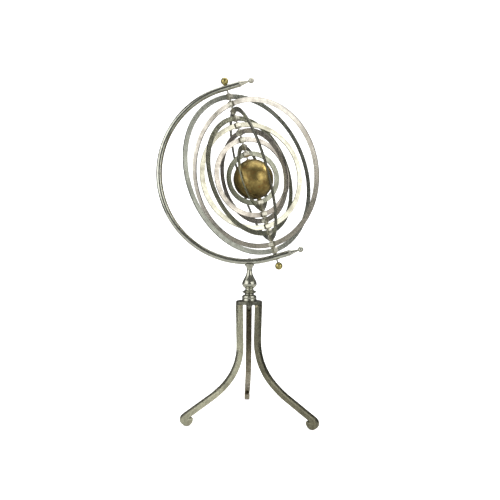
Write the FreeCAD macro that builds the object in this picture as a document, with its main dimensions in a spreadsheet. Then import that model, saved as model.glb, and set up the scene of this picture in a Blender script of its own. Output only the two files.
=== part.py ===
import FreeCAD, Part
import math
import os

import Sketcher

# Armillary sphere: nine concentric rings and a brass globe on one tilted rod,
# held by a C-shaped arm on a turned stem and three scroll-toed legs.
# Frame: origin on the floor under the stem, X right, Y away, Z up, millimetres.

SIZES = {
    # tilted axis
    "axis_tilt": 16.8, "axis_x": 1.9, "axis_z": 404.2,
    # arm
    "arm_r": 145.0, "arm_bar_r": 4.85, "arm_offset": 7.6, "arm_run": 30.0,
    "arm_bore_r": 1.56, "spigot_r": 2.5, "spigot_len": 7.0,
    "finial_base_r": 4.3, "finial_neck_r": 1.7, "finial_taper": 15.0, "finial_ball_r": 4.7,
    "finial_reach": 20.0,
    # rod and knobs
    "rod_r": 1.5, "knob_r": 6.35, "knob_seat": 6.1, "knob_top_s": 156.05, "knob_low_s": -160.9,
    "knob_depth": 4.0, "washer_r": 3.4, "washer_thick": 0.95, "washer_s": -140.02,
    # rings
    "band_width": 8.2, "band_thick": 2.4, "band_edge": 0.35, "ring_r": 131.7, "ring_pitch": 11.34,
    "ring_drop": 2.1, "ring_step": 0.99, "bore_r": 1.55,
    "bush_width": 9.0, "bush_end_width": 5.2, "bush_half": 5.05, "bush_belt": 2.4,
    # globe
    "globe_r": 33.3, "globe_wall": 1.2, "globe_s": -11.9, "globe_hole_r": 2.7,
    "ferrule_r": 2.65, "ferrule_flange_r": 4.0, "ferrule_flange": 0.55, "ferrule_len": 4.0,
    # stem
    "stem_top_z": 253.6, "stem_base_z": 192.5, "stem_bore_r": 2.05, "stem_bore_len": 16.0,
    "stem_bulb_r": 11.7, "stem_bead_r": 11.6, "stem_waist_r": 4.6, "stem_foot_r": 11.6,
    "stud_r": 3.0, "stud_len": 11.0,
    "screw_r": 2.0, "screw_head_r": 3.4, "screw_head": 1.6, "screw_seat_z": 261.2, "screw_len": 20.0,
    # plate
    "plate_z": 187.0, "plate_thick": 5.5, "plate_corner_c": 14.6, "plate_corner_r": 9.0,
    "plate_bulge": 15.0, "plate_soft": 1.8,
    "nut_flats": 9.0, "nut_thick": 3.4, "nut_washer_r": 6.0, "nut_washer": 0.8,
    # legs
    "leg_bar": 9.8, "leg_soft": 1.1, "leg_top_r": 18.6, "leg_top_z": 187.0, "leg_lean": 1.4,
    "leg_bend_r": 80.0, "leg_bend": 48.0, "leg_sweep_r": 135.0, "leg_sweep": 15.0, "leg_run": 50.0,
    "toe_r": 5.2, "toe_turn": 256.0, "foot_flat": 0.35, "leg_screw_r": 1.6, "leg_screw_head_r": 2.9,
    "leg_screw_head": 1.2, "leg_screw_len": 12.0, "leg_screw_c": 14.9,
}
RING_COUNT = 9
RING_TURNS = [41.6, -35.3, -78.9, 48.3, 22.1, -48.1, 25.5, 70.4, 15.4]
LEGS = {"left": (209.0, 1.0), "right": (-35.5, 1.10), "back": (91.5, 1.0)}

doc = FreeCAD.newDocument("armillary_sphere")
sheet = doc.addObject("Spreadsheet::Sheet", "Sizes")
for row, (alias, value) in enumerate(SIZES.items(), start=1):
    sheet.set(f"A{row}", alias)
    sheet.set(f"B{row}", str(value))
    sheet.setAlias(f"B{row}", alias)
doc.recompute()

exports = []


class Dim:
    """A size that carries both its value and the expression that gives it."""

    def __init__(self, value, text):
        self.value = float(value)
        self.text = text

    def _join(self, other, sign, result):
        other_text = other.text if isinstance(other, Dim) else str(other)
        return Dim(result, f"({self.text} {sign} {other_text})")

    def __add__(self, other):
        return self._join(other, "+", self.value + plain(other))

    def __sub__(self, other):
        return self._join(other, "-", self.value - plain(other))

    def __mul__(self, other):
        return self._join(other, "*", self.value * plain(other))

    def __truediv__(self, other):
        return self._join(other, "/", self.value / plain(other))

    def __neg__(self):
        return Dim(-self.value, f"(0 - {self.text})")


def plain(number):
    return number.value if isinstance(number, Dim) else float(number)


def size(alias):
    return Dim(SIZES[alias], f"Sizes.{alias}")


def bind(obj, prop, dim):
    if isinstance(dim, Dim):
        obj.setExpression(prop, dim.text)
    else:
        setattr(obj, prop, dim)


def origin_plane(body, role):
    for feature in body.Origin.OriginFeatures:
        if feature.Role == role:
            return feature
    raise ValueError(role)


def attach(body, sketch, role, offset=None):
    sketch.AttachmentSupport = (origin_plane(body, role), [""])
    sketch.MapMode = "FlatFace"
    if offset is not None:
        sketch.AttachmentOffset = offset


def new_sketch(body, label, role, offset=None):
    sketch = body.newObject("Sketcher::SketchObject", label)
    attach(body, sketch, role, offset)
    return sketch


def constrain(sketch, dim, *args):
    """Add one dimension constraint and bind it to the sheet."""
    index = sketch.addConstraint(Sketcher.Constraint(*args, plain(dim)))
    if isinstance(dim, Dim):
        sketch.setExpression(f"Constraints[{index}]", dim.text)


def place_point(sketch, geo, end, x, y):
    """Pin one end point of a sketch edge to a bound position."""
    for kind, value in (("DistanceX", x), ("DistanceY", y)):
        if abs(plain(value)) > 1e-9:
            constrain(sketch, value, kind, -1, 1, geo, end)
        else:
            axis = -2 if kind == "DistanceX" else -1
            sketch.addConstraint(Sketcher.Constraint("PointOnObject", geo, end, axis))


def closed_profile(sketch, points):
    """Draw a closed profile; a point may carry the bulge of the edge that leaves it."""
    count = len(points)
    for index, point in enumerate(points):
        following = points[(index + 1) % count]
        start = FreeCAD.Vector(plain(point[0]), plain(point[1]), 0)
        end = FreeCAD.Vector(plain(following[0]), plain(following[1]), 0)
        bulge = point[2] if len(point) > 2 else 0
        if bulge:
            chord = end - start
            normal = FreeCAD.Vector(chord.y, -chord.x, 0).normalize()
            middle = (start + end) * 0.5 + normal * bulge
            sketch.addGeometry(Part.Arc(start, middle, end), False)
        else:
            sketch.addGeometry(Part.LineSegment(start, end), False)
    for index, point in enumerate(points):
        bulged = len(point) > 2 and point[2]
        leaving_end = arc_start(points, index) if bulged else 1
        place_point(sketch, index, leaving_end, point[0], point[1])
    for index in range(count):
        following = (index + 1) % count
        this_end = 3 - (arc_start(points, index) if bulged_at(points, index) else 1)
        next_end = arc_start(points, following) if bulged_at(points, following) else 1
        sketch.addConstraint(Sketcher.Constraint("Coincident", index, this_end, following, next_end))
        if bulged_at(points, index):
            radius = bulge_radius(points, index)
            sketch.addConstraint(Sketcher.Constraint("Radius", index, radius))


def bulged_at(points, index):
    return len(points[index]) > 2 and points[index][2] != 0


def arc_start(points, index):
    """A sketch arc always runs anticlockwise, so a clockwise bulge swaps its ends."""
    return 1 if points[index][2] > 0 else 2


def bulge_radius(points, index):
    start = points[index]
    end = points[(index + 1) % len(points)]
    chord = math.hypot(plain(end[0]) - plain(start[0]), plain(end[1]) - plain(start[1]))
    rise = abs(points[index][2])
    return (chord * chord / 4 + rise * rise) / (2 * rise)


def turned(label, points):
    """A piece turned on the lathe: a half profile spun about Z."""
    body = doc.addObject("PartDesign::Body", label)
    sketch = new_sketch(body, label + "_profile", "XZ_Plane")
    closed_profile(sketch, points)
    spin = body.newObject("PartDesign::Revolution", label + "_spin")
    spin.Profile = sketch
    spin.ReferenceAxis = (sketch, ["V_Axis"])
    spin.Angle = 360
    sketch.Visibility = False
    return body


def primitive(kind, label, placement=None, **dims):
    obj = doc.addObject(kind, label)
    for prop, dim in dims.items():
        bind(obj, prop, dim)
    if placement is not None:
        obj.Placement = placement
    return obj


def cut(label, base, tools):
    if len(tools) == 1:
        tool = tools[0]
    else:
        tool = doc.addObject("Part::MultiFuse", label + "_tools")
        tool.Shapes = tools
    result = doc.addObject("Part::Cut", label)
    result.Base = base
    result.Tool = tool
    return result


def keep(obj, label, placement=None):
    obj.Label = label
    if placement is not None:
        obj.Placement = placement
    exports.append(obj)
    return obj


def along_z(z, x=0.0, y=0.0):
    return FreeCAD.Placement(FreeCAD.Vector(x, y, z), FreeCAD.Rotation())


def turned_about(axis, angle, base=FreeCAD.Vector(0, 0, 0)):
    return FreeCAD.Placement(base, FreeCAD.Rotation(axis, angle))


Y_AXIS = FreeCAD.Vector(0, 1, 0)
Z_AXIS = FreeCAD.Vector(0, 0, 1)
TILTED = turned_about(Y_AXIS, -SIZES["axis_tilt"], FreeCAD.Vector(SIZES["axis_x"], 0, SIZES["axis_z"]))


def on_axis(s, turn=0.0):
    """The placement of a piece that sits on the tilted rod."""
    return TILTED.multiply(along_z(s)).multiply(turned_about(Z_AXIS, turn))


def tangent_chain(sketch, x, y, heading, segments):
    """An open path of lines and arcs that flow into each other, bound to the sheet."""
    at = FreeCAD.Vector(plain(x), plain(y), 0)
    angle = math.radians(heading)
    ends = []
    for kind, first, second in segments:
        ahead = FreeCAD.Vector(math.cos(angle), math.sin(angle), 0)
        if kind == "line":
            end = at + ahead * plain(first)
            sketch.addGeometry(Part.LineSegment(at, end), False)
            ends.append((1, 2))
        else:
            sweep = math.radians(plain(second))
            side = 1 if sweep > 0 else -1
            left = FreeCAD.Vector(-ahead.y, ahead.x, 0)
            centre = at + left * (side * plain(first))

            def rim(turn):
                return centre - left * (side * plain(first)) * math.cos(turn) + ahead * (
                    plain(first) * math.sin(abs(turn)))

            end = rim(sweep)
            sketch.addGeometry(Part.Arc(at, rim(sweep / 2), end), False)
            angle += sweep
            ends.append((1, 2) if side > 0 else (2, 1))
        at = end
    place_point(sketch, 0, ends[0][0], x, y)
    for index in range(1, len(segments)):
        sketch.addConstraint(
            Sketcher.Constraint("Tangent", index - 1, ends[index - 1][1], index, ends[index][0]))
    return ends


def bound_lengths(sketch, segments):
    for index, (kind, first, second) in enumerate(segments):
        if kind == "line":
            constrain(sketch, first, "Distance", index)
        else:
            constrain(sketch, first, "Radius", index)


# ---------------------------------------------------------------- arm

def build_arm():
    body = doc.addObject("PartDesign::Body", "arm_bar")
    path = new_sketch(body, "arm_path", "XZ_Plane")
    segments = [("line", size("arm_run"), None), ("arc", size("arm_r"), 180.0),
                ("line", size("arm_run"), None)]
    start_x = size("arm_run") - size("arm_offset")
    tangent_chain(path, start_x, size("arm_r"), 180.0, segments)
    bound_lengths(path, segments)
    path.addConstraint(Sketcher.Constraint("Horizontal", 0))
    path.addConstraint(Sketcher.Constraint("Horizontal", 2))
    profile = new_sketch(body, "arm_section", "YZ_Plane", FreeCAD.Placement())
    profile.setExpression("AttachmentOffset.Base.z", start_x.text)
    profile.addGeometry(Part.Circle(FreeCAD.Vector(0, SIZES["arm_r"], 0), Z_AXIS, SIZES["arm_bar_r"]), False)
    profile.addConstraint(Sketcher.Constraint("PointOnObject", 0, 3, -2))
    constrain(profile, size("arm_r"), "DistanceY", -1, 1, 0, 3)
    constrain(profile, size("arm_bar_r"), "Radius", 0)
    pipe = body.newObject("PartDesign::AdditivePipe", "arm_sweep")
    pipe.Profile = profile
    pipe.Spine = (path, ["Edge1", "Edge2", "Edge3"])
    doc.recompute()
    rod_hole = primitive("Part::Cylinder", "arm_rod_hole", along_z(-SIZES["arm_r"] - 10),
                         Radius=size("arm_bore_r"), Height=size("arm_r") * 2 + 20)
    sockets = []
    reach = SIZES["arm_run"] - SIZES["arm_offset"]
    for name, sign in (("upper", 1), ("lower", -1)):
        base = FreeCAD.Vector(reach - SIZES["spigot_len"] - 0.3, 0, sign * SIZES["arm_r"])
        socket = primitive("Part::Cylinder", f"arm_socket_{name}", turned_about(Y_AXIS, 90, base),
                           Radius=size("spigot_r") + 0.02, Height=size("spigot_len") + 2)
        sockets.append(socket)
    upright = TILTED.inverse()
    seat = primitive("Part::Cylinder", "arm_screw_seat", upright.multiply(along_z(SIZES["screw_seat_z"])),
                     Radius=size("screw_head_r") + 0.2, Height=6.0)
    drill_start = upright.multiply(along_z(SIZES["stem_top_z"] - 6))
    drilled = primitive("Part::Cylinder", "arm_screw_hole", drill_start,
                        Radius=size("screw_r") + 0.1, Height=20.0)
    keep(cut("arm", body, [rod_hole, seat, drilled] + sockets), "arm", TILTED)

    root = -size("spigot_len")
    ball = SIZES["finial_ball_r"]
    neck = SIZES["finial_neck_r"]
    near = math.sqrt(ball * ball - neck * neck)
    points = [(0, root), (size("spigot_r"), root), (size("spigot_r"), 0), (size("arm_bar_r") - 0.15, 0),
              (size("finial_base_r") + 0.25, 1.2), (size("finial_base_r"), 1.9),
              (size("finial_neck_r"), size("finial_taper")),
              (size("finial_neck_r"), size("finial_reach") - near,
               sagitta(ball, math.hypot(ball - neck, near))),
              (size("finial_ball_r"), size("finial_reach"), sagitta(ball, ball * math.sqrt(2))),
              (0, size("finial_reach") + size("finial_ball_r"))]
    for name, sign in (("upper", 1), ("lower", -1)):
        finial = turned(f"arm_finial_{name}", points)
        tip = FreeCAD.Vector(reach, 0, sign * SIZES["arm_r"])
        keep(finial, f"arm_finial_{name}", TILTED.multiply(turned_about(Y_AXIS, 90, tip)))


def sagitta(radius, chord):
    """How far an arc of this radius stands off its chord."""
    return radius - math.sqrt(radius * radius - chord * chord / 4)


# ---------------------------------------------------------------- rod and knobs

def build_rod():
    low = SIZES["knob_low_s"] + SIZES["knob_r"] - SIZES["knob_depth"] - 0.3
    high = SIZES["knob_top_s"] - SIZES["knob_seat"] + SIZES["knob_depth"]
    rod = primitive("Part::Cylinder", "axle_rod", Radius=size("rod_r"), Height=high - low)
    rod.setExpression("Height", "Sizes.knob_top_s - Sizes.knob_seat + Sizes.knob_depth - "
                      "(Sizes.knob_low_s + Sizes.knob_r - Sizes.knob_depth - 0.3)")
    keep(rod, "axle_rod", on_axis(low))
    for name, centre, flip in (("upper", SIZES["knob_top_s"], 0), ("lower", SIZES["knob_low_s"], 180)):
        ball = primitive("Part::Sphere", f"knob_{name}_ball", Radius=size("knob_r"))
        trim = primitive("Part::Box", f"knob_{name}_trim", along_z(-20.0 - SIZES["knob_seat"], -10, -10),
                         Length=20.0, Width=20.0, Height=20.0)
        bore = primitive("Part::Cylinder", f"knob_{name}_bore", along_z(-SIZES["knob_r"] - 1),
                         Radius=size("rod_r") + 0.02,
                         Height=size("knob_r") + 1 - size("knob_seat") + size("knob_depth") + 0.3)
        knob = cut(f"knob_{name}", ball, [trim, bore])
        turn = turned_about(Y_AXIS, flip)
        keep(knob, f"knob_{name}", TILTED.multiply(along_z(centre)).multiply(turn))
    disc = primitive("Part::Cylinder", "thrust_washer_disc", Radius=size("washer_r"),
                     Height=size("washer_thick"))
    hole = primitive("Part::Cylinder", "thrust_washer_hole", along_z(-1), Radius=size("bore_r"), Height=4.0)
    keep(cut("thrust_washer", disc, [hole]), "thrust_washer", on_axis(SIZES["washer_s"]))


# ---------------------------------------------------------------- rings

def bush_block(label, grow=0.0):
    """A square block whose two ends taper; its axis is Z and its middle is at the origin."""
    wide = size("bush_width") / 2 + grow
    slim = size("bush_end_width") / 2 + grow
    belt = size("bush_belt")
    half = size("bush_half")
    middle = primitive("Part::Box", label + "_middle", Length=wide * 2, Width=wide * 2, Height=belt * 2)
    middle.setExpression("Placement.Base.x", (-wide).text)
    middle.setExpression("Placement.Base.y", (-wide).text)
    middle.setExpression("Placement.Base.z", (-belt).text)
    tapers = []
    for side, angle in (("upper", 90), ("lower", -90)):
        tapers.append(primitive(
            "Part::Wedge", f"{label}_{side}_taper", turned_about(FreeCAD.Vector(1, 0, 0), angle),
            Xmin=-wide, Xmax=wide, Zmin=-wide, Zmax=wide, X2min=-slim, X2max=slim, Z2min=-slim, Z2max=slim,
            Ymin=belt, Ymax=half))
    block = doc.addObject("Part::MultiFuse", label)
    block.Shapes = [middle] + tapers
    block.Refine = True
    return block


def build_ring(number):
    name = f"ring_{number}"
    radius = size("ring_r") - size("ring_pitch") * (number - 1)
    half = size("band_width") / 2
    rim = size("band_thick") / 2
    soft = size("band_edge")
    inner = radius - half
    outer = radius + half
    band = turned(name + "_blank", [
        (inner, -rim + soft), (inner + soft, -rim), (outer - soft, -rim), (outer, -rim + soft),
        (outer, rim - soft), (outer - soft, rim), (inner + soft, rim), (inner, rim - soft)])
    upright = FreeCAD.Rotation(FreeCAD.Vector(1, 0, 0), 90)
    band.Placement = FreeCAD.Placement(FreeCAD.Vector(0, 0, 0), upright)
    clearances = []
    for pole, sign in (("upper", 1), ("lower", -1)):
        envelope = bush_block(f"{name}_{pole}_seat", 0.02)
        envelope.Placement = along_z(sign * radius.value)
        clearances.append(envelope)
    centre = -SIZES["ring_drop"] - SIZES["ring_step"] * (number - 1)
    turn = RING_TURNS[number - 1]
    keep(cut(name + "_band", band, clearances), name + "_band", on_axis(centre, turn))
    for pole, sign in (("upper", 1), ("lower", -1)):
        block = bush_block(f"{name}_{pole}_block")
        bore = primitive("Part::Cylinder", f"{name}_{pole}_bore", along_z(-10),
                         Radius=size("bore_r"), Height=20.0)
        keep(cut(f"{name}_bush_{pole}", block, [bore]), f"{name}_bush_{pole}",
             on_axis(centre + sign * radius.value, turn))


# ---------------------------------------------------------------- globe

def build_globe():
    for name, flip in (("upper", 0), ("lower", 180)):
        outer = primitive("Part::Sphere", f"globe_{name}_outer",
                          Radius=size("globe_r"), Angle1=0.0, Angle2=90.0)
        inner = primitive("Part::Sphere", f"globe_{name}_inner", Radius=size("globe_r") - size("globe_wall"))
        hole = primitive("Part::Cylinder", f"globe_{name}_hole", Radius=size("globe_hole_r"),
                         Height=size("globe_r") + 2)
        shell = cut(f"globe_{name}", outer, [inner, hole])
        keep(shell, f"globe_{name}", on_axis(SIZES["globe_s"]).multiply(turned_about(Y_AXIS, flip)))
        tube_foot = size("globe_r") - size("ferrule_len")
        flange_top = size("globe_r") + size("ferrule_flange")
        ferrule = turned(f"globe_ferrule_{name}", [
            (size("bore_r"), tube_foot), (size("ferrule_r"), tube_foot), (size("ferrule_r"), size("globe_r")),
            (size("ferrule_flange_r"), size("globe_r")), (size("ferrule_flange_r") - 0.3, flange_top),
            (size("bore_r"), flange_top)])
        keep(ferrule, f"globe_ferrule_{name}",
             on_axis(SIZES["globe_s"]).multiply(turned_about(Y_AXIS, flip)))


# ---------------------------------------------------------------- stem and plate

def build_stem():
    base = SIZES["stem_base_z"]
    bulb = size("stem_bulb_r")
    bead = size("stem_bead_r")
    waist = size("stem_waist_r")
    foot = size("stem_foot_r")
    points = [(0, base - SIZES["stud_len"]), (size("stud_r") - 0.4, base - SIZES["stud_len"]),
              (size("stud_r"), base - SIZES["stud_len"] + 0.6), (size("stud_r"), base), (foot - 0.4, base),
              (foot, base + 0.5), (foot, base + 6.6, 0.35), (foot - 1.9, base + 9.3),
              (foot - 4.3, base + 10.4), (foot - 4.3, base + 11.6), (foot - 3.6, base + 12.5, -0.5),
              (bead, base + 15.0, -0.5),
              (foot - 4.2, base + 17.6), (foot - 4.9, base + 18.8), (foot - 4.7, base + 19.9),
              (bulb - 0.9, base + 24.1, 0.9), (bulb - 0.9, base + 30.6, 0.25),
              (bulb - 3.6, base + 38.2, -0.8),
              (waist, base + 47.3, -0.15), (waist + 0.7, base + 54.7), (waist + 1.5, base + 56.7, -0.35),
              (waist + 3.1, base + 59.0), (waist + 3.1, base + 61.1), (0, base + 61.1)]
    blank = turned("stem_blank", points)
    saddle = primitive("Part::Torus", "stem_saddle",
                       TILTED.multiply(turned_about(FreeCAD.Vector(1, 0, 0), 90,
                                                    FreeCAD.Vector(-SIZES["arm_offset"], 0, 0))),
                       Radius1=size("arm_r"), Radius2=size("arm_bar_r") + 0.03)
    bore = primitive("Part::Cylinder", "stem_bore", along_z(SIZES["stem_top_z"] - SIZES["stem_bore_len"]),
                     Radius=size("stem_bore_r"), Height=size("stem_bore_len") + 6)
    keep(cut("stem", blank, [saddle, bore]), "stem")

    head = SIZES["screw_head"]
    screw = turned("arm_screw_turned", [
        (0, -SIZES["screw_len"]), (size("screw_r") - 0.4, -SIZES["screw_len"]),
        (size("screw_r"), -SIZES["screw_len"] + 0.5), (size("screw_r"), 0), (size("screw_head_r"), 0),
        (size("screw_head_r"), head * 0.4, 0.25), (0, head)])
    slot = primitive("Part::Box", "arm_screw_slot", along_z(head - 0.7, -5, -0.4), Length=10.0, Width=0.8,
                     Height=2.0)
    keep(cut("arm_screw", screw, [slot]), "arm_screw", along_z(SIZES["screw_seat_z"]))


def build_plate():
    body = doc.addObject("PartDesign::Body", "plate_blank")
    sketch = new_sketch(body, "plate_outline", "XY_Plane")
    corner_c = SIZES["plate_corner_c"]
    corner_r = SIZES["plate_corner_r"]
    middles = []
    for azimuth, _reach in LEGS.values():
        middles.append(azimuth % 360)
    middles.sort()
    count = len(middles)
    corners = []
    for azimuth in middles:
        toward = math.radians(azimuth)
        corners.append(FreeCAD.Vector(math.cos(toward), math.sin(toward), 0) * corner_c)
    sides = []
    for index, corner in enumerate(corners):
        following = corners[(index + 1) % count]
        middle = (corner + following) * 0.5
        outward = FreeCAD.Vector(following.y - corner.y, corner.x - following.x, 0).normalize()
        centre = middle - outward * SIZES["plate_bulge"]
        big = corner_r + centre.distanceToPoint(corner)
        leave = corner + (corner - centre).normalize() * corner_r
        arrive = following + (following - centre).normalize() * corner_r
        sides.append((leave, centre + outward * big, arrive))
    for index, corner in enumerate(corners):
        arrive = sides[index - 1][2]
        leave = sides[index][0]
        tip = corner + FreeCAD.Vector(corner).normalize() * corner_r
        sketch.addGeometry(Part.Arc(arrive, tip, leave), False)
        sketch.addGeometry(Part.Arc(*sides[index]), False)
    total = 2 * count
    for index in range(total):
        sketch.addConstraint(Sketcher.Constraint("Tangent", index, 2, (index + 1) % total, 1))
    for index in range(0, total, 2):
        constrain(sketch, size("plate_corner_r"), "Radius", index)
    sketch.solve()
    pad = body.newObject("PartDesign::Pad", "plate_pad")
    pad.Profile = sketch
    pad.setExpression("Length", "Sizes.plate_thick")
    doc.recompute()
    top_edges = []
    for index, edge in enumerate(pad.Shape.Edges, start=1):
        if all(abs(vertex.Z - SIZES["plate_thick"]) < 1e-4 for vertex in edge.Vertexes):
            top_edges.append(f"Edge{index}")
    fillet = body.newObject("PartDesign::Fillet", "plate_soft_edge")
    fillet.Base = (pad, top_edges)
    fillet.setExpression("Radius", "Sizes.plate_soft")
    body.Tip = fillet
    doc.recompute()
    tools = [primitive("Part::Cylinder", "plate_stud_hole", along_z(-2),
                       Radius=size("stud_r") + 0.1, Height=12.0)]
    for name, (azimuth, _reach) in LEGS.items():
        toward = math.radians(azimuth)
        x = SIZES["leg_screw_c"] * math.cos(toward)
        y = SIZES["leg_screw_c"] * math.sin(toward)
        tools.append(primitive("Part::Cylinder", f"plate_hole_{name}", along_z(-2, x, y),
                               Radius=size("leg_screw_r") + 0.1, Height=12.0))
        sink = SIZES["plate_thick"] - SIZES["leg_screw_head"]
        tools.append(primitive("Part::Cylinder", f"plate_sink_{name}", along_z(sink, x, y),
                               Radius=size("leg_screw_head_r") + 0.1, Height=6.0))
    keep(cut("base_plate", body, tools), "base_plate", along_z(SIZES["plate_z"]))

    washer = primitive("Part::Cylinder", "nut_washer_disc",
                       Radius=size("nut_washer_r"), Height=size("nut_washer"))
    washer_hole = primitive("Part::Cylinder", "nut_washer_hole", along_z(-1), Radius=size("stud_r") + 0.1,
                            Height=4.0)
    keep(cut("stem_washer", washer, [washer_hole]), "stem_washer",
         along_z(SIZES["plate_z"] - SIZES["nut_washer"]))
    prism = primitive("Part::Prism", "stem_nut_prism", Polygon=6,
                      Circumradius=size("nut_flats") * 0.57735, Height=size("nut_thick"))
    nut_hole = primitive("Part::Cylinder", "stem_nut_hole", along_z(-1),
                         Radius=size("stud_r") + 0.02, Height=8.0)
    lens = primitive("Part::Cone", "stem_nut_crown", Radius1=size("nut_flats") * 0.5,
                     Radius2=size("nut_flats") * 0.5 + size("nut_thick") * 1.7, Height=size("nut_thick"))
    crowned = doc.addObject("Part::Common", "stem_nut_crowned")
    crowned.Base = prism
    crowned.Tool = lens
    nut_z = SIZES["plate_z"] - SIZES["nut_washer"] - SIZES["nut_thick"]
    keep(cut("stem_nut", crowned, [nut_hole]), "stem_nut", along_z(nut_z))


# ---------------------------------------------------------------- legs

def build_leg(name, azimuth, reach):
    body = doc.addObject("PartDesign::Body", f"leg_{name}_bar")
    path = new_sketch(body, f"leg_{name}_path", "XZ_Plane")
    top_z = SIZES["leg_top_z"]
    lean = SIZES["leg_lean"]
    bend = SIZES["leg_bend"]
    sweep = SIZES["leg_sweep"]
    turn = SIZES["toe_turn"]
    bend_r = size("leg_bend_r") * reach
    sweep_r = size("leg_sweep_r") * reach
    run = size("leg_run") * reach
    # the straight drop takes up whatever height the curves, the run and the toe leave over
    bent = math.radians(bend - lean)
    swept = math.radians(bend + sweep - lean)
    bend_fall = plain(bend_r) * (math.sin(bent) + math.sin(math.radians(lean)))
    sweep_fall = plain(sweep_r) * (math.sin(swept) - math.sin(bent))
    run_fall = plain(run) * math.cos(swept)
    toe_fall = SIZES["toe_r"] * (1 + math.sin(swept)) + SIZES["leg_bar"] / 2 - SIZES["foot_flat"]
    drop = (top_z - bend_fall - sweep_fall - run_fall - toe_fall) / math.cos(math.radians(lean))
    segments = [("line", drop, None), ("arc", bend_r, bend), ("arc", sweep_r, sweep), ("line", run, None),
                ("arc", size("toe_r"), -turn)]
    tangent_chain(path, size("leg_top_r"), size("leg_top_z"), -90 - lean, segments)
    bound_lengths(path, segments)
    section = new_sketch(body, f"leg_{name}_section", "XY_Plane",
                         FreeCAD.Placement(FreeCAD.Vector(0, 0, top_z), FreeCAD.Rotation()))
    section.setExpression("AttachmentOffset.Base.z", "Sizes.leg_top_z")
    half = size("leg_bar") / 2
    soft = size("leg_soft")
    centre = size("leg_top_r")
    corner = SIZES["leg_soft"] * (math.sqrt(2) - 1) / math.sqrt(2)
    closed_profile(section, [
        (centre - half + soft, -half), (centre + half - soft, -half, corner),
        (centre + half, -half + soft), (centre + half, half - soft, corner),
        (centre + half - soft, half), (centre - half + soft, half, corner),
        (centre - half, half - soft), (centre - half, -half + soft, corner)])
    pipe = body.newObject("PartDesign::AdditivePipe", f"leg_{name}_sweep")
    pipe.Profile = section
    pipe.Spine = (path, ["Edge1", "Edge2", "Edge3", "Edge4", "Edge5"])
    doc.recompute()
    floor = primitive("Part::Box", f"leg_{name}_floor", along_z(-30.0, 60, -40), Length=200.0, Width=80.0,
                      Height=30.0)
    ceiling = primitive("Part::Box", f"leg_{name}_ceiling", along_z(top_z, -20, -40), Length=100.0,
                        Width=80.0, Height=30.0)
    bore = primitive("Part::Cylinder", f"leg_{name}_bore",
                     along_z(top_z - SIZES["leg_screw_len"], SIZES["leg_screw_c"]),
                     Radius=size("leg_screw_r") + 0.02, Height=size("leg_screw_len") + 2)
    around = turned_about(Z_AXIS, azimuth)
    keep(cut(f"leg_{name}", body, [floor, ceiling, bore]), f"leg_{name}", around)
    head = SIZES["leg_screw_head"]
    length = SIZES["leg_screw_len"] + SIZES["plate_thick"] - head - 1.0
    screw = turned(f"leg_screw_{name}_turned", [
        (0, -length), (size("leg_screw_r") - 0.4, -length), (size("leg_screw_r"), -length + 0.5),
        (size("leg_screw_r"), 0), (size("leg_screw_head_r"), 0), (size("leg_screw_head_r"), head * 0.5),
        (size("leg_screw_head_r") - 0.5, head), (0, head)])
    seat = along_z(SIZES["plate_z"] + SIZES["plate_thick"] - head, SIZES["leg_screw_c"])
    keep(screw, f"leg_screw_{name}", around.multiply(seat))


build_arm()
build_rod()
for ring_number in range(1, RING_COUNT + 1):
    build_ring(ring_number)
build_globe()
build_stem()
build_plate()
for leg_name, (leg_azimuth, leg_reach) in LEGS.items():
    build_leg(leg_name, leg_azimuth, leg_reach)

doc.recompute()

broken = [obj.Label for obj in doc.Objects if "Invalid" in obj.State or "Error" in obj.State]
if broken:
    raise RuntimeError("these did not build: " + ", ".join(broken))

os.makedirs("parts", exist_ok=True)
for obj in exports:
    if obj.Shape.isNull() or not obj.Shape.isValid():
        raise RuntimeError(f"{obj.Label} has no valid shape")
    obj.Shape.exportStep(f"parts/{obj.Label}.step")
    box = obj.Shape.BoundBox
    print(f"{obj.Label:24s} solids {len(obj.Shape.Solids)} volume {obj.Shape.Volume:9.1f} "
          f"z {box.ZMin:7.2f} to {box.ZMax:7.2f}")
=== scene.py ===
import math
import random

import bmesh
import bpy
from mathutils import Matrix, Vector, noise


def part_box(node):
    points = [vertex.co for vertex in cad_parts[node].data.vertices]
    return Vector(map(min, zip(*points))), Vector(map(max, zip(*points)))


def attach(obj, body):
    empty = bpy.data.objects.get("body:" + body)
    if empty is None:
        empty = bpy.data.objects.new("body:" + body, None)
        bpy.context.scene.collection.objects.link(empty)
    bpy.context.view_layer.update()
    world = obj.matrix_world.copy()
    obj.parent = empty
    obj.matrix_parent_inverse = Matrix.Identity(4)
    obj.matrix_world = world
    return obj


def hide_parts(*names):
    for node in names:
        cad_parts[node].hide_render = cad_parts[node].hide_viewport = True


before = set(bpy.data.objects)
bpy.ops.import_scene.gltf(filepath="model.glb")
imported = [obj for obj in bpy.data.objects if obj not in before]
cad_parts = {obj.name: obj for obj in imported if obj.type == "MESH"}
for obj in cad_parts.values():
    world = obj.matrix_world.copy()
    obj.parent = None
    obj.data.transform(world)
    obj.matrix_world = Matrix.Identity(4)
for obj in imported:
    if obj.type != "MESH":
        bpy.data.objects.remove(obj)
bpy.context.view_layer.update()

# Sizes that the CAD model also has, in metres. The polar axis is tilted in the plane of the arm, and
# AXIS_POINT is a point on it.
TILT = math.radians(16.8)
AXIS_POINT = Vector((0.0019, 0.0, 0.4042))
AXIS_FRAME = Matrix.Translation(AXIS_POINT) @ Matrix.Rotation(-TILT, 4, "Y")
BAND_HALF = 0.0041
BAND_THICK_HALF = 0.0012
GLOBE_RADIUS = 0.0333
GLOBE_CENTRE = -0.0119
STEM_BASE = 0.1925
LEG_TOP_RADIUS = 0.0186
LEG_AZIMUTHS = {"left": 209.0, "right": -35.5, "back": 91.5}
ARM_END = 0.0224
ARM_RADIUS = 0.145
ARM_BAR = 0.00485
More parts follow.
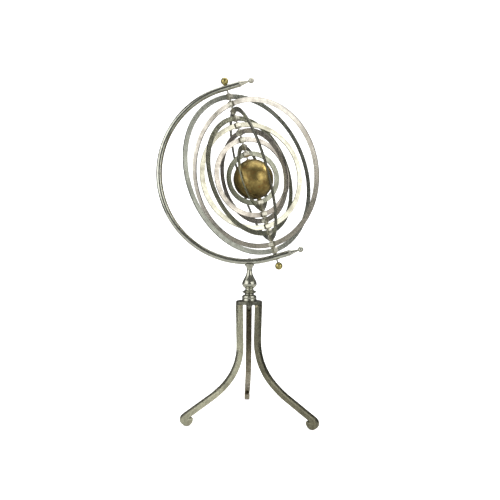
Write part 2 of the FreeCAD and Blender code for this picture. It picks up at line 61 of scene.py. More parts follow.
ARM_FRAME = AXIS_FRAME @ Matrix.Translation((-0.0076, 0, 0))
RING_COUNT = 9
RING_RADII = [(131.7 - 11.34 * n) / 1000 for n in range(RING_COUNT)]
RING_CENTRES = [(-2.1 - 0.99 * n) / 1000 for n in range(RING_COUNT)]
RING_TURNS = [math.radians(a) for a in (41.6, -35.3, -78.9, 48.3, 22.1, -48.1, 25.5, 70.4, 15.4)]


def ring_frame(number):
    """A ring's own frame: its band lies in XZ, with Z along the rod."""
    return (AXIS_FRAME @ Matrix.Translation((0, 0, RING_CENTRES[number - 1]))
            @ Matrix.Rotation(RING_TURNS[number - 1], 4, "Z"))


# ---------------------------------------------------------------- materials

# Sizes of the noise that makes each kind of mark, per metre.
SCRATCH_SCALE = 2400.0
STREAK_SCALE = 1500.0
PIT_SCALE = 900.0
SLOW_STREAK_SCALE = 420.0

# How much of a turn counts as a metre of grain: small, so that noise draws out into long streaks.
STREAK_TURN = 0.06 / 14.0
BUMP_DEPTH = 0.0004

# Sockets of a colour Mix node, which go by number because several share a name.
MIX_A = 6
MIX_B = 7
MIX_RESULT = 2


class Nodes:
    """A small helper that adds and links shader nodes."""

    def __init__(self, name):
        self.material = bpy.data.materials.new(name)
        self.material.use_nodes = True
        self.tree = self.material.node_tree
        self.tree.nodes.clear()
        self.output = self.add("ShaderNodeOutputMaterial")
        self.shader = self.add("ShaderNodeBsdfPrincipled")
        self.link(self.shader.outputs[0], self.output.inputs[0])

    def add(self, kind, **props):
        node = self.tree.nodes.new(kind)
        for key, value in props.items():
            setattr(node, key, value)
        return node

    def link(self, source, target):
        self.tree.links.new(source, target)

    def feed(self, socket, value):
        if isinstance(value, bpy.types.NodeSocket):
            self.link(value, socket)
        else:
            socket.default_value = value

    def maths(self, operation, a, b=0.0):
        node = self.add("ShaderNodeMath", operation=operation)
        self.feed(node.inputs[0], a)
        self.feed(node.inputs[1], b)
        return node.outputs[0]

    def blend(self, a, share_a, b, share_b):
        """The weighted sum of two values."""
        return self.maths("ADD", self.maths("MULTIPLY", a, share_a), self.maths("MULTIPLY", b, share_b))

    def along(self, point, direction):
        """How far a point lies along a direction."""
        dot = self.add("ShaderNodeVectorMath", operation="DOT_PRODUCT")
        self.link(point, dot.inputs[0])
        dot.inputs[1].default_value = direction
        return dot.outputs["Value"]

    def noise(self, vector, scale, detail=4.0, roughness=0.55):
        node = self.add("ShaderNodeTexNoise")
        node.inputs["Scale"].default_value = scale
        node.inputs["Detail"].default_value = detail
        node.inputs["Roughness"].default_value = roughness
        self.link(vector, node.inputs["Vector"])
        return node.outputs["Fac"]

    def ramp(self, value, low, high, out_low=0.0, out_high=1.0):
        node = self.add("ShaderNodeMapRange")
        node.interpolation_type = "SMOOTHSTEP"
        self.link(value, node.inputs[0])
        for index, number in enumerate((low, high, out_low, out_high), start=1):
            node.inputs[index].default_value = number
        return node.outputs[0]

    def mix(self, factor, a, b, blend_type="MIX"):
        node = self.add("ShaderNodeMix", data_type="RGBA", blend_type=blend_type)
        self.feed(node.inputs["Factor"], factor)
        self.feed(node.inputs[MIX_A], a)
        self.feed(node.inputs[MIX_B], b)
        return node.outputs[MIX_RESULT]

    def grey(self, value):
        node = self.add("ShaderNodeCombineColor")
        for index in range(3):
            self.link(value, node.inputs[index])
        return node.outputs[0]


def rgb(r, g, b):
    return (r, g, b, 1.0)


def deeper(colour, factor):
    """A colour made darker, with its alpha kept at 1."""
    return tuple(c * factor for c in colour[:3]) + (1.0,)


def local_coordinates(nodes, matrix):
    """Object coordinates taken into a piece's own straight frame."""
    coords = nodes.add("ShaderNodeTexCoord")
    back = matrix.inverted()
    return [nodes.maths("ADD", nodes.along(coords.outputs["Object"], back[row][:3]), back[row][3])
            for row in range(3)]


def polar_grain(nodes, first, second, depth):
    """A vector in which noise draws out into streaks that run round an axis, and the radius there."""
    first_squared = nodes.maths("MULTIPLY", first, first)
    second_squared = nodes.maths("MULTIPLY", second, second)
    radius = nodes.maths("SQRT", nodes.maths("ADD", first_squared, second_squared))
    angle = nodes.maths("ARCTAN2", first, second)
    combine = nodes.add("ShaderNodeCombineXYZ")
    nodes.link(radius, combine.inputs[0])
    nodes.link(nodes.maths("MULTIPLY", angle, STREAK_TURN), combine.inputs[1])
    nodes.link(depth, combine.inputs[2])
    return combine.outputs[0], radius


def grain_space(nodes, place, grain, frame_matrix):
    """Where streaks are drawn: round Y for a bent bar or band, round Z for turned work, else along Z."""
    if grain is None:
        stretch = nodes.add("ShaderNodeMapping")
        stretch.inputs["Scale"].default_value = (1.0, 1.0, 0.04)
        nodes.link(place, stretch.inputs["Vector"])
        return stretch.outputs[0], None
    x, y, z = local_coordinates(nodes, frame_matrix)
    if grain == "bent":
        return polar_grain(nodes, x, z, y)
    return polar_grain(nodes, x, y, z)


def shade_and_tarnish_side(nodes, point, colour, dark, broad, shadow):
    """Painted shade and heavier tarnish towards one side of a piece, with an uneven edge."""
    centre, toward, low, high, strength = shadow
    reach = nodes.maths("SUBTRACT", nodes.along(point, toward), centre.dot(toward))
    uneven = nodes.maths("MULTIPLY", nodes.maths("SUBTRACT", broad, 0.5), (high - low) * 0.6)
    return nodes.mix(nodes.ramp(nodes.maths("ADD", reach, uneven), low, high, 0.0, strength), colour, dark)


def metal(name, base, dark, warm, roughness=0.3, grain=None, frame_matrix=None, stain=0.5, dirt=0.5,
          bump=0.15, seed=0.0, patch_scale=26.0, warm_amount=0.35, pits=0.0, rim_at=None,
          shadow=None):
    """A worked metal: drawn or turned grain, tarnish in patches, fine scratches, dirt in the hollows."""
    nodes = Nodes(name)
    point = nodes.add("ShaderNodeTexCoord").outputs["Object"]
    shift = nodes.add("ShaderNodeMapping")
    shift.inputs["Location"].default_value = (seed * 0.37, seed * 0.21, seed * 0.11)
    nodes.link(point, shift.inputs["Vector"])
    place = shift.outputs[0]
    broad = nodes.noise(place, patch_scale, 5.0, 0.6)
    middle = nodes.noise(place, patch_scale * 5.5, 5.0, 0.62)
    scratches = nodes.noise(place, SCRATCH_SCALE, 3.0, 0.6)
    streak_space, radius = grain_space(nodes, place, grain, frame_matrix)
    streaks = nodes.noise(streak_space, STREAK_SCALE, 4.0, 0.65)
    slow_streaks = nodes.noise(streak_space, SLOW_STREAK_SCALE, 3.0, 0.6)

    tarnish = nodes.maths("MULTIPLY", nodes.ramp(nodes.blend(broad, 0.7, middle, 0.3), 0.42, 0.68), stain)
    colour = nodes.mix(tarnish, base, dark)
    warmth = nodes.maths("MULTIPLY", nodes.ramp(middle, 0.5, 0.72), warm_amount)
    colour = nodes.mix(warmth, colour, warm)
    brightness = nodes.grey(nodes.ramp(slow_streaks, 0.3, 0.7, 0.86, 1.08))
    colour = nodes.mix(1.0, colour, brightness, "MULTIPLY")
    # Painted shade, with some heavier tarnish, towards one side, where a shadow is given.
    if shadow:
        colour = shade_and_tarnish_side(nodes, point, colour, dark, broad, shadow)
    pointiness = nodes.add("ShaderNodeNewGeometry").outputs["Pointiness"]
    hollow = nodes.maths("MULTIPLY", nodes.ramp(pointiness, 0.40, 0.50, 1.0, 0.0), dirt)
    colour = nodes.mix(hollow, colour, deeper(dark, 0.35))
    # Painted shade along the band's rims, standing for the dark thin sides of the band.
    if rim_at:
        from_middle = nodes.maths("ABSOLUTE", nodes.maths("SUBTRACT", radius, rim_at))
        rim_shade = nodes.ramp(from_middle, BAND_HALF - 0.0005, BAND_HALF - 0.00005, 0.0, 0.8)
        colour = nodes.mix(rim_shade, colour, deeper(dark, 0.45))
    if pits:
        spots = nodes.noise(place, PIT_SCALE, 2.0, 0.5)
        pitted = nodes.maths("MULTIPLY", nodes.ramp(spots, 0.66, 0.72), pits)
        colour = nodes.mix(pitted, colour, deeper(dark, 0.3))
    nodes.link(colour, nodes.shader.inputs["Base Color"])

    wear = nodes.blend(streaks, 0.5, middle, 0.5)
    rough = nodes.ramp(wear, 0.3, 0.75, max(roughness - 0.08, 0.03), roughness + 0.12)
    rough = nodes.maths("ADD", rough, nodes.maths("MULTIPLY", tarnish, 0.16))
    nodes.link(rough, nodes.shader.inputs["Roughness"])
    nodes.shader.inputs["Metallic"].default_value = 1.0

    height = nodes.blend(streaks, 0.55, scratches, 0.2)
    height = nodes.maths("ADD", height, nodes.maths("MULTIPLY", middle, 0.6))
    bumped = nodes.add("ShaderNodeBump")
    bumped.inputs["Strength"].default_value = bump
    bumped.inputs["Distance"].default_value = BUMP_DEPTH
    nodes.link(height, bumped.inputs["Height"])
    nodes.link(bumped.outputs[0], nodes.shader.inputs["Normal"])
    return nodes.material


def dress(material, *names):
    """Puts a material into every slot of carried-over CAD nodes."""
    for name in names:
        mesh_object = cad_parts[name]
        if not mesh_object.material_slots:
            mesh_object.data.materials.append(material)
        for slot in mesh_object.material_slots:
            slot.material = material


# The three colours of each metal are its clean face, its tarnish and its warm stains.
arm_steel = metal("arm_steel", rgb(0.64, 0.65, 0.57), rgb(0.22, 0.22, 0.18), rgb(0.34, 0.31, 0.23), 0.12,
                  grain="bent", frame_matrix=ARM_FRAME, patch_scale=30.0, bump=0.06, seed=1.0, pits=0.4)
rod_steel = metal("rod_steel", rgb(0.42, 0.42, 0.38), rgb(0.12, 0.12, 0.10), rgb(0.3, 0.24, 0.16),
                  grain="turned", frame_matrix=AXIS_FRAME, seed=2.0)
bush_nickel = metal("bush_nickel", rgb(0.86, 0.84, 0.72), rgb(0.34, 0.31, 0.24), rgb(0.62, 0.53, 0.38), 0.33,
                    grain="turned", frame_matrix=AXIS_FRAME, dirt=0.8, patch_scale=90.0, seed=3.0)
stem_nickel = metal("stem_nickel", rgb(0.58, 0.58, 0.49), rgb(0.13, 0.13, 0.10), rgb(0.34, 0.29, 0.20), 0.18,
                    grain="turned", frame_matrix=Matrix.Identity(4), stain=0.55, dirt=0.8, bump=0.14,
                    seed=4.0)
screw_steel = metal("screw_steel", rgb(0.32, 0.31, 0.27), rgb(0.08, 0.07, 0.05), rgb(0.2, 0.13, 0.08), 0.36,
                    patch_scale=120.0, seed=5.0)
knob_brass = metal("knob_brass", rgb(0.56, 0.48, 0.19), rgb(0.16, 0.12, 0.04), rgb(0.36, 0.24, 0.08), 0.2,
                   grain="turned", frame_matrix=AXIS_FRAME, patch_scale=110.0, seed=6.0, bump=0.08)
# Painted shade on the globe's lower side, with an uneven edge.
GLOBE_SHADOW = (AXIS_POINT + Vector((0.003, 0, -0.011)), Vector((-0.25, 0.1, -0.96)), -0.004, 0.03, 0.75)
globe_brass = metal("globe_brass", rgb(0.52, 0.39, 0.14), rgb(0.10, 0.072, 0.024), rgb(0.40, 0.20, 0.06),
                    stain=0.6, warm_amount=0.7, bump=0.2, seed=7.0, pits=0.3, shadow=GLOBE_SHADOW)
base_steel = metal("base_steel", rgb(0.21, 0.21, 0.17), rgb(0.06, 0.06, 0.045), rgb(0.16, 0.13, 0.085),
                   stain=0.8, dirt=0.8, patch_scale=55.0, bump=0.3, seed=8.0)
solder = metal("solder", rgb(0.30, 0.29, 0.23), rgb(0.10, 0.09, 0.06), rgb(0.26, 0.20, 0.12), 0.36,
               stain=0.6, patch_scale=260.0, bump=0.3, seed=41.0)
braze = metal("braze", rgb(0.62, 0.57, 0.40), rgb(0.26, 0.22, 0.13), rgb(0.46, 0.36, 0.18),
              patch_scale=240.0, bump=0.35, seed=42.0)

# Lit and shaded copies of one steel: the left leg's colours carry painted light, the right and back legs'
# colours painted shade.
LEG_LIT_AND_SHADED_TONES = {
    "left": (rgb(0.64, 0.63, 0.48), rgb(0.26, 0.26, 0.19), rgb(0.44, 0.39, 0.28)),
    "right": (rgb(0.24, 0.23, 0.165), rgb(0.09, 0.09, 0.065), rgb(0.33, 0.28, 0.17)),
    "back": (rgb(0.46, 0.42, 0.33), rgb(0.10, 0.085, 0.055), rgb(0.40, 0.32, 0.20)),
}
# How much painted shade each leg gets, growing between these two heights.
LEG_SHADOWS = {"left": 0.15, "right": 0.25, "back": 0.9}
LEG_SHADOW_LOW = 0.05
LEG_SHADOW_HIGH = 0.125
# Each ring's colours are partly its own tarnish and partly painted light and shade for how light falls on
# that ring.
RING_TONES_AND_SHADE = [
    (rgb(0.66, 0.68, 0.59), rgb(0.24, 0.25, 0.21), rgb(0.50, 0.50, 0.40)),
    (rgb(0.72, 0.68, 0.60), rgb(0.34, 0.31, 0.26), rgb(0.54, 0.46, 0.37)),
    (rgb(0.50, 0.50, 0.42), rgb(0.22, 0.22, 0.17), rgb(0.40, 0.37, 0.28)),
    (rgb(0.52, 0.53, 0.41), rgb(0.26, 0.27, 0.19), rgb(0.42, 0.39, 0.27)),
    (rgb(0.64, 0.63, 0.53), rgb(0.42, 0.40, 0.31), rgb(0.56, 0.51, 0.38)),
    (rgb(0.52, 0.48, 0.43), rgb(0.26, 0.24, 0.21), rgb(0.42, 0.37, 0.30)),
    (rgb(0.60, 0.56, 0.50), rgb(0.26, 0.23, 0.20), rgb(0.46, 0.39, 0.33)),
    (rgb(0.56, 0.56, 0.43), rgb(0.26, 0.26, 0.18), rgb(0.42, 0.37, 0.26)),
    (rgb(0.42, 0.43, 0.35), rgb(0.20, 0.21, 0.16), rgb(0.36, 0.33, 0.24)),
]
# Where each ring carries painted shade with heavier tarnish, in degrees from its own X towards its upper
# pole, and how strongly.
RING_SHADOWS = [(30, 0.75), (268, 0.65), (300, 0.4), (20, 0.35), (110, 0.3), (205, 0.5), (320, 0.7),
                (200, 0.4), (195, 0.9)]


def ring_steel(number):
    """The steel of one ring, with painted shade along its rims, and painted shade with heavier tarnish
    towards one side.
    """
    base, dark, warm = RING_TONES_AND_SHADE[number - 1]
    angle, strength = RING_SHADOWS[number - 1]
    radius = RING_RADII[number - 1]
    place = ring_frame(number)
    toward = place.to_3x3() @ Vector((math.cos(math.radians(angle)), 0, math.sin(math.radians(angle))))
    shadow = (place.translation, toward, -0.1 * radius, 0.75 * radius, strength)
    return metal(f"ring_{number}_steel", base, dark, warm, 0.24, grain="bent", frame_matrix=place,
                 stain=0.55, patch_scale=22.0, bump=0.06, seed=10.0 + number, warm_amount=0.45,
                 rim_at=radius, shadow=shadow)


def leg_steel(side):
    """The steel of one leg, with painted shade above its bend."""
    base, dark, warm = LEG_LIT_AND_SHADED_TONES[side]
    shadow = (Vector((0, 0, 0)), Vector((0, 0, 1)), LEG_SHADOW_LOW, LEG_SHADOW_HIGH, LEG_SHADOWS[side])
    return metal(f"leg_{side}_steel", base, dark, warm, 0.24, stain=0.65, patch_scale=34.0, bump=0.16,
                 seed=30.0 + len(side), pits=0.3, shadow=shadow)


leg_steels = {side: leg_steel(side) for side in LEG_LIT_AND_SHADED_TONES}

dress(arm_steel, "arm", "arm_finial_lower")
dress(bush_nickel, "arm_finial_upper")
dress(stem_nickel, "stem")
dress(base_steel, "base_plate")
dress(screw_steel, "arm_screw", "stem_washer", "stem_nut", "thrust_washer")
dress(rod_steel, "axle_rod")
dress(knob_brass, "knob_upper", "knob_lower", "globe_ferrule_upper", "globe_ferrule_lower")
dress(globe_brass, "globe_upper", "globe_lower")
for number in range(1, RING_COUNT + 1):
    dress(ring_steel(number), f"ring_{number}_band")
    dress(bush_nickel, f"ring_{number}_bush_upper", f"ring_{number}_bush_lower")
for side, material in leg_steels.items():
    dress(material, f"leg_{side}")
    dress(screw_steel, f"leg_screw_{side}")


# ---------------------------------------------------------------- own pieces

def add_piece(name, build, body, material):
    """Makes a smooth-shaded piece from a bmesh, in its material, riding on a body."""
    mesh = bpy.data.meshes.new(name)
    bmesh.ops.recalc_face_normals(build, faces=build.faces)
    build.to_mesh(mesh)
    build.free()
    mesh.shade_smooth()
    mesh.materials.append(material)
    piece = bpy.data.objects.new(name, mesh)
    bpy.context.collection.objects.link(piece)
    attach(piece, body)
    return piece


def join_loops(build, loops, close_ends=True):
    """Skins closed loops of equal length one after another."""
    rows = [[build.verts.new(point) for point in loop] for loop in loops]
    count = len(rows[0])
    for low, high in zip(rows, rows[1:]):
        for index in range(count):
            after = (index + 1) % count
            build.faces.new((low[index], low[after], high[after], high[index]))
    if close_ends:
        build.faces.new(list(reversed(rows[0])))
        build.faces.new(rows[-1])


GLOBE_ROWS = 150
GLOBE_SEGMENTS = 180
GLOBE_DENTS = 11
GLOBE_HOLE = 0.0028
GLOBE_SINK = 0.00005
SPIN_MARK = 0.000022
SPIN_MARKS = 75
SEAM_RIDGE = 0.00018
SEAM_RIDGE_WIDTH = 0.0007
SEAM_GROOVE = 0.00042
SEAM_GROOVE_WIDTH = 0.00022
GLOBE_WAVER = 0.00016


def globe_skin():
    """The spun brass ball: spinning marks, a soldered seam round its middle and a few shallow dents."""
    dents = []
    chance = random.Random(5)
    for _ in range(GLOBE_DENTS):
        toward = Vector((chance.gauss(0, 1), chance.gauss(0, 1), chance.gauss(0, 1))).normalized()
        dents.append((toward, chance.uniform(0.07, 0.2), chance.uniform(0.00012, 0.00038)))
    hole = math.asin(GLOBE_HOLE / GLOBE_RADIUS)
    place = AXIS_FRAME @ Matrix.Translation((0, 0, GLOBE_CENTRE))
    loops = []
    for step in range(GLOBE_ROWS + 1):
        polar = hole + (math.pi - 2 * hole) * step / GLOBE_ROWS
        loop = []
        for index in range(GLOBE_SEGMENTS):
            turn = 2 * math.pi * index / GLOBE_SEGMENTS
            flat = math.sin(polar)
            out = Vector((flat * math.cos(turn), flat * math.sin(turn), math.cos(polar)))
            radius = GLOBE_RADIUS - GLOBE_SINK + SPIN_MARK * math.sin(polar * SPIN_MARKS)
            seam = (polar - math.pi / 2) * GLOBE_RADIUS
            ridge = math.exp(-(seam / SEAM_RIDGE_WIDTH) ** 2)
            radius += SEAM_RIDGE * ridge * (1 + 0.5 * noise.noise(out * 9))
            radius -= SEAM_GROOVE * math.exp(-(seam / SEAM_GROOVE_WIDTH) ** 2)
            radius += GLOBE_WAVER * noise.noise(out * 2.3)
            for toward, width, depth in dents:
                angle = out.angle(toward)
                if angle < 3 * width:
                    radius -= depth * math.exp(-(angle / width) ** 2)
            loop.append(place @ (out * radius))
        loops.append(loop)
    build = bmesh.new()
    join_loops(build, loops, close_ends=False)
    skin = add_piece("globe_skin", build, "globe", globe_brass)
    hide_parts("globe_upper", "globe_lower")


def rounded_section(half_u, half_n, count=24, power=5.0):
    """Points round a soft-cornered rectangle."""
    points = []
    for index in range(count):
        turn = 2 * math.pi * index / count
        u = math.copysign(abs(math.cos(turn)) ** (2 / power), math.cos(turn))
        n = math.copysign(abs(math.sin(turn)) ** (2 / power), math.sin(turn))
        points.append((half_u * u, half_n * n))
    return points


# How the solder swells over the band, by distance from the middle of the bush.
SOLDER_ROWS = ((0.0026, 0.0004), (0.0036, 0.00085), (0.0044, 0.00075), (0.0050, 0.0004), (0.0057, 0.00014),
               (0.0064, -0.0001))
SOLDER_WIDEST = 0.0008


def solder_fillets(number):
    """Solder where a ring's band runs into its two bushes, thick at the bush and feathered on the band."""
    radius = RING_RADII[number - 1]
    place = ring_frame(number)
    for pole, up in (("upper", 1), ("lower", -1)):
        build = bmesh.new()
        for side in (1, -1):
            loops = []
            for along, swell in SOLDER_ROWS:
                loop = []
                section = rounded_section(BAND_HALF + min(swell, SOLDER_WIDEST), BAND_THICK_HALF + swell)
                for u, n in section:
                    bite = Vector((u * 900 + number, n * 900, along * 500 + up * 3 + side))
                    shift = side * along * (1 + 0.16 * noise.noise(bite))
                    angle = shift / radius
                    reach = radius + u
                    loop.append(place @ Vector((reach * math.sin(angle), n, up * reach * math.cos(angle))))
                loops.append(loop)
            join_loops(build, loops)
        add_piece(f"ring_{number}_solder_{pole}", build, f"ring_{number}", solder)


# Two small lips with a groove between: distance along the arm's end, and swell over the bar.
COLLAR_PROFILE = ((-0.0009, 0.0), (-0.0008, 0.00012), (-0.0004, 0.0002), (-0.00005, 0.00012),
                  (0.0, -0.0003), (0.00012, -0.0004), (0.00025, -0.0003), (0.0003, 0.0),
                  (0.0006, 0.00016), (0.0011, -0.0001), (0.0013, -0.0008))
COLLAR_SEGMENTS = 48


def finial_collar(pole, up):
    """The small raised lips where an arm end meets its finial."""
    loops = []
    for along, swell in COLLAR_PROFILE:
        loop = []
        for index in range(COLLAR_SEGMENTS):
            turn = 2 * math.pi * index / COLLAR_SEGMENTS
            reach = ARM_BAR + swell
            loop.append(AXIS_FRAME @ Vector((ARM_END + along, reach * math.cos(turn),
                                             up * ARM_RADIUS + reach * math.sin(turn))))
        loops.append(loop)
    build = bmesh.new()
    join_loops(build, loops)
    add_piece(f"arm_collar_{pole}", build, "stand", arm_steel)


def smooth_through(points, steps=7):
    """Points on a smooth curve through the given ones."""
    padded = [points[0]] + list(points) + [points[-1]]
    curve = []
    for index in range(len(points) - 1):
        before, start, end, after = (Vector(point) for point in padded[index:index + 4])
        for step in range(steps):
            t = step / steps
            square = (2 * before - 5 * start + 4 * end - after) * t * t
            cube = (3 * start - before - 3 * end + after) * t ** 3
            curve.append(0.5 * ((2 * start) + (end - before) * t + square + cube))
    curve.append(Vector(points[-1]))
    return curve


SADDLE_GAP = 0.00005
SADDLE_STEP = 0.0001
SADDLE_MOST_STEPS = 120


def clear_of_arm(point):
    """Lowers a point until it is outside the round bar of the arm, which the stem's saddle follows."""
    to_arm = ARM_FRAME.inverted()
    for _ in range(SADDLE_MOST_STEPS):
        local = to_arm @ point
        across = math.hypot(local.x, local.z) - ARM_RADIUS
        if math.hypot(across, local.y) > ARM_BAR + SADDLE_GAP:
            break
        point.z -= SADDLE_STEP
    return point


# The stem's half profile, from its stud up: radius and height above the plate.
STEM_FOOT = [(0.0001, -0.011), (0.0026, -0.011), (0.003, -0.0104), (0.003, -0.0001), (0.0117, 0.0),
             (0.0120, 0.0004), (0.0120, 0.0031), (0.01183, 0.0034), (0.0120, 0.0037), (0.0120, 0.0068),
             (0.0117, 0.0078), (0.0105, 0.0087), (0.0094, 0.0093), (0.0078, 0.0097), (0.0074, 0.0103),
             (0.0074, 0.0113), (0.0084, 0.0118), (0.0100, 0.0128), (0.0117, 0.0140), (0.0121, 0.0145),
             (0.0117, 0.0150), (0.0098, 0.0160), (0.0081, 0.0170), (0.0072, 0.0178), (0.0067, 0.0186)]
STEM_PEAR = [(0.0067, 0.0188), (0.0070, 0.0203), (0.0097, 0.0226), (0.0118, 0.0258), (0.0122, 0.0285),
             (0.0110, 0.0325), (0.0083, 0.0376), (0.0058, 0.0428), (0.0046, 0.0478), (0.0045, 0.0515),
             (0.0051, 0.0546), (0.0061, 0.0566)]
STEM_HEAD = [(0.0074, 0.0580), (0.0077, 0.0588), (0.0077, 0.0607), (0.0074, 0.0611), (0.0040, 0.0611),
             (0.0012, 0.0611)]
STEM_SEGMENTS = 72
SADDLE_FROM = 0.05
SHARP_EDGE = math.radians(35)


def turned_stem():
    """The baluster: crisp foot and bead, then a smooth pear drawn out into the neck and the saddle."""
    profile = [Vector(point) for point in STEM_FOOT] + smooth_through(STEM_PEAR)
    profile += [Vector(point) for point in STEM_HEAD]
    loops = []
    for radius, height in profile:
        loop = []
        for index in range(STEM_SEGMENTS):
            turn = 2 * math.pi * index / STEM_SEGMENTS
            point = Vector((radius * math.cos(turn), radius * math.sin(turn), STEM_BASE + height))
            if height > SADDLE_FROM:
                point = clear_of_arm(point)
            loop.append(point)
        loops.append(loop)
    build = bmesh.new()
    join_loops(build, loops)
    piece = add_piece("stem_turned", build, "stand", stem_nickel)
    piece.data.set_sharp_from_angle(angle=SHARP_EDGE)
    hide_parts("stem")


LEG_VOXEL = 0.00065
LEG_WEAR_PASSES = 5
HAMMER_DEPTH = 0.00022


def forged_leg(side):
    """A softened copy of a leg: edges worn round, faces gently uneven from the hammer."""
    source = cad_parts[f"leg_{side}"]
    rough = bpy.data.objects.new(f"leg_{side}_rough", source.data.copy())
    bpy.context.collection.objects.link(rough)
    remesh = rough.modifiers.new("remesh", "REMESH")
    remesh.mode = "VOXEL"
    remesh.voxel_size = LEG_VOXEL
    worn = rough.modifiers.new("worn", "SMOOTH")
    worn.factor = 0.5
    worn.iterations = LEG_WEAR_PASSES
    graph = bpy.context.evaluated_depsgraph_get()
    mesh = bpy.data.meshes.new_from_object(rough.evaluated_get(graph))
    bpy.data.objects.remove(rough)
    normals = [vertex.normal.copy() for vertex in mesh.vertices]
    for vertex, normal in zip(mesh.vertices, normals):
        point = vertex.co.copy()
        hammered = 0.5 + 0.5 * noise.noise(point * 95) + 0.25 * noise.noise(point * 260)
        point -= normal * HAMMER_DEPTH * max(hammered, 0.0)
        point.z = max(point.z, 0.0)
        vertex.co = point
    mesh.shade_smooth()
    mesh.materials.clear()
    mesh.materials.append(leg_steels[side])
    piece = bpy.data.objects.new(f"leg_{side}_forged", mesh)
    bpy.context.collection.objects.link(piece)
    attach(piece, "stand")
    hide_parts(f"leg_{side}")


BRAZE_BEADS = 3
BRAZE_OUT = 0.0047
BRAZE_SPREAD = 0.0026
BRAZE_THICK = 0.0008


def braze_beads(side):
    """Uneven beads of brazing metal where a leg's head meets the plate, on three of its faces."""
    azimuth = math.radians(LEG_AZIMUTHS[side])
    leg_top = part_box(f"leg_{side}")[1][2]
    outward = Vector((math.cos(azimuth), math.sin(azimuth), 0))
    tangent = Vector((-outward.y, outward.x, 0))
    head = outward * LEG_TOP_RADIUS + Vector((0, 0, leg_top))
    build = bmesh.new()
    chance = random.Random(len(side))
    for facing, across in ((tangent, outward), (-tangent, outward), (-outward, tangent)):
        for _ in range(BRAZE_BEADS):
            wide = chance.uniform(0.0013, 0.0022)
            tall = chance.uniform(0.0013, 0.0027)
            centre = head + facing * BRAZE_OUT + across * chance.uniform(-BRAZE_SPREAD, BRAZE_SPREAD)
            centre -= Vector((0, 0, tall * 0.8 + 0.0004))
            ball = bmesh.ops.create_icosphere(build, subdivisions=3, radius=1.0)
            for vertex in ball["verts"]:
                lump = 1 + 0.22 * noise.noise(vertex.co * 1.6 + centre * 900)
                shape = facing * (vertex.co.x * BRAZE_THICK) + across * (vertex.co.y * wide)
                vertex.co = centre + (shape + Vector((0, 0, vertex.co.z * tall))) * lump
    add_piece(f"braze_{side}", build, "stand", braze)


globe_skin()
turned_stem()
for number in range(1, RING_COUNT + 1):
    solder_fillets(number)
finial_collar("upper", 1)
finial_collar("lower", -1)
for side in LEG_AZIMUTHS:
    forged_leg(side)
    braze_beads(side)


# ---------------------------------------------------------------- floor, light and camera

FLOOR_RADIUS = 2.6
FLOOR_BEND = 1.0
WALL_TOP = 5.0
FLOOR_DROP = 0.0008
FLOOR_SEGMENTS = 72
BEND_STEPS = 12


def bowl_mesh():
    """A round floor that curves up into a wall on every side, like paper in a wide bowl."""
    profile = [(0.6, 0.0), (1.5, 0.0), (FLOOR_RADIUS, 0.0)]
    for step in range(1, BEND_STEPS + 1):
        turn = math.radians(90 * step / BEND_STEPS)
        profile.append((FLOOR_RADIUS + FLOOR_BEND * math.sin(turn), FLOOR_BEND * (1 - math.cos(turn))))
    profile.append((FLOOR_RADIUS + FLOOR_BEND, WALL_TOP))
    turns = [2 * math.pi * index / FLOOR_SEGMENTS for index in range(FLOOR_SEGMENTS)]
    build = bmesh.new()
    rows = []
    for radius, z in profile:
        rows.append([build.verts.new((radius * math.cos(turn), radius * math.sin(turn), z - FLOOR_DROP))
                     for turn in turns])
    build.faces.new(rows[0])
    for low, high in zip(rows, rows[1:]):
        for index in range(FLOOR_SEGMENTS):
            after = (index + 1) % FLOOR_SEGMENTS
            build.faces.new((low[index], high[index], high[after], low[after]))
    mesh = bpy.data.meshes.new("paper_bowl")
    build.to_mesh(mesh)
    build.free()
    mesh.shade_smooth()
    return mesh


LAMP_TARGET = Vector((0, 0, 0.33))


def softbox(name, azimuth, elevation, distance, width, height, glow, colour=(1.0, 1.0, 1.0)):
    """A rectangular lamp that faces the object. Its power goes up with its area, so glow is a brightness."""
    flat = math.cos(math.radians(elevation))
    away = Vector((math.cos(math.radians(azimuth)) * flat, math.sin(math.radians(azimuth)) * flat,
                   math.sin(math.radians(elevation))))
    data = bpy.data.lights.new(name, "AREA")
    data.shape = "RECTANGLE"
    data.size = width
    data.size_y = height
    data.energy = glow * math.pi * width * height
    data.color = colour
    lamp = bpy.data.objects.new(name, data)
    lamp.location = LAMP_TARGET + away * distance
    lamp.rotation_euler = (-away).to_track_quat("-Z", "Y").to_euler()
    lamp.visible_camera = False
    bpy.context.collection.objects.link(lamp)


def matt(name, colour, roughness, glow_colour, glow):
    """A plain matt material with a little light of its own."""
    paint = Nodes(name)
    paint.shader.inputs["Base Color"].default_value = colour
    paint.shader.inputs["Roughness"].default_value = roughness
    paint.shader.inputs["Emission Color"].default_value = glow_colour
    paint.shader.inputs["Emission Strength"].default_value = glow
    return paint


def paper_floor():
    """The pale paper round the object. It is kept out of reflections, so that metal edges read against it."""
    mesh = bowl_mesh()
    paint = matt("paper", rgb(0.92, 0.92, 0.92), 0.9, rgb(1.0, 1.0, 1.0), 0.5)
    paint.shader.inputs["Specular IOR Level"].default_value = 0.05
    mesh.materials.append(paint.material)
    floor = bpy.data.objects.new("paper_bowl", mesh)
    bpy.context.collection.objects.link(floor)
    floor.visible_glossy = False
    floor.visible_shadow = False


TABLE_CORNERS = ((-1, -1.6), (1, -1.6), (1, 0.5), (-1, 0.5))
TABLE_DROP = 0.0001


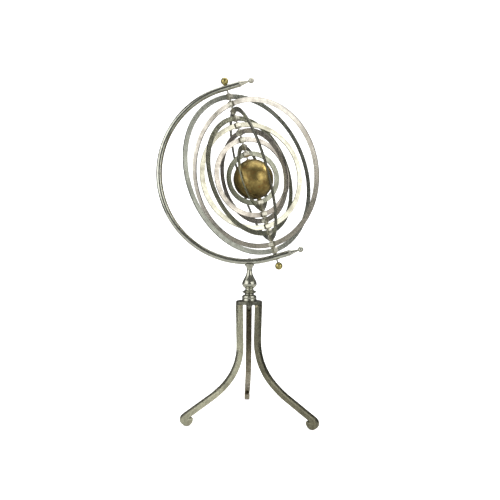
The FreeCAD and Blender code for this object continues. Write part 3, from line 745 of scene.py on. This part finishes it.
def table_card():
    """A grey card under the object, seen only in the metal's reflections."""
    build = bmesh.new()
    build.faces.new([build.verts.new((x, y, -TABLE_DROP)) for x, y in TABLE_CORNERS])
    mesh = bpy.data.meshes.new("table_top")
    build.to_mesh(mesh)
    build.free()
    mesh.materials.append(matt("grey_card", rgb(0.30, 0.30, 0.28), 0.9, rgb(1.0, 1.0, 0.96), 0.22).material)
    card = bpy.data.objects.new("table_top", mesh)
    bpy.context.collection.objects.link(card)
    card.visible_camera = False
    card.visible_diffuse = False
    card.visible_shadow = False


def studio_light():
    world = bpy.data.worlds.new("studio")
    bpy.context.scene.world = world
    world.use_nodes = True
    sky = world.node_tree.nodes["Background"]
    sky.inputs["Color"].default_value = rgb(1.0, 1.0, 0.97)
    sky.inputs["Strength"].default_value = 0.14

    softbox("window_left", 215, 16, 1.8, 2.0, 1.75, 1.5)
    softbox("key_right_front", -49, 14, 1.9, 0.72, 1.3, 2.0, (1.0, 0.99, 0.95))
    softbox("fill_right", -24, 14, 1.9, 0.98, 1.2, 0.95)
    softbox("high_right", 17, 46, 1.6, 0.5, 0.5, 4.5, (1.0, 0.98, 0.92))
    softbox("overhead", 90, 84, 1.7, 1.7, 1.7, 1.5)


CAMERA_PLACE = (0.0006, -1.052, 0.2964)
CAMERA_LENS = 45.8
CAMERA_SENSOR = 36.0
CAMERA_PITCH = math.radians(-1.1)
CAMERA_ROLL = math.radians(0.4)


def camera():
    data = bpy.data.cameras.new("camera")
    data.sensor_width = CAMERA_SENSOR
    data.lens = CAMERA_LENS
    data.clip_start = 0.01
    eye = bpy.data.objects.new("camera", data)
    ahead = Vector((0, math.cos(CAMERA_PITCH), math.sin(CAMERA_PITCH)))
    level_up = Vector((0, -math.sin(CAMERA_PITCH), math.cos(CAMERA_PITCH)))
    level_right = Vector((1, 0, 0))
    right = level_right * math.cos(CAMERA_ROLL) + level_up * math.sin(CAMERA_ROLL)
    up = level_up * math.cos(CAMERA_ROLL) - level_right * math.sin(CAMERA_ROLL)
    turn = Matrix((right, up, -ahead)).transposed().to_4x4()
    eye.matrix_world = Matrix.Translation(CAMERA_PLACE) @ turn
    bpy.context.collection.objects.link(eye)
    bpy.context.scene.camera = eye


bpy.context.scene.view_settings.view_transform = "Standard"
paper_floor()
table_card()
studio_light()
camera()
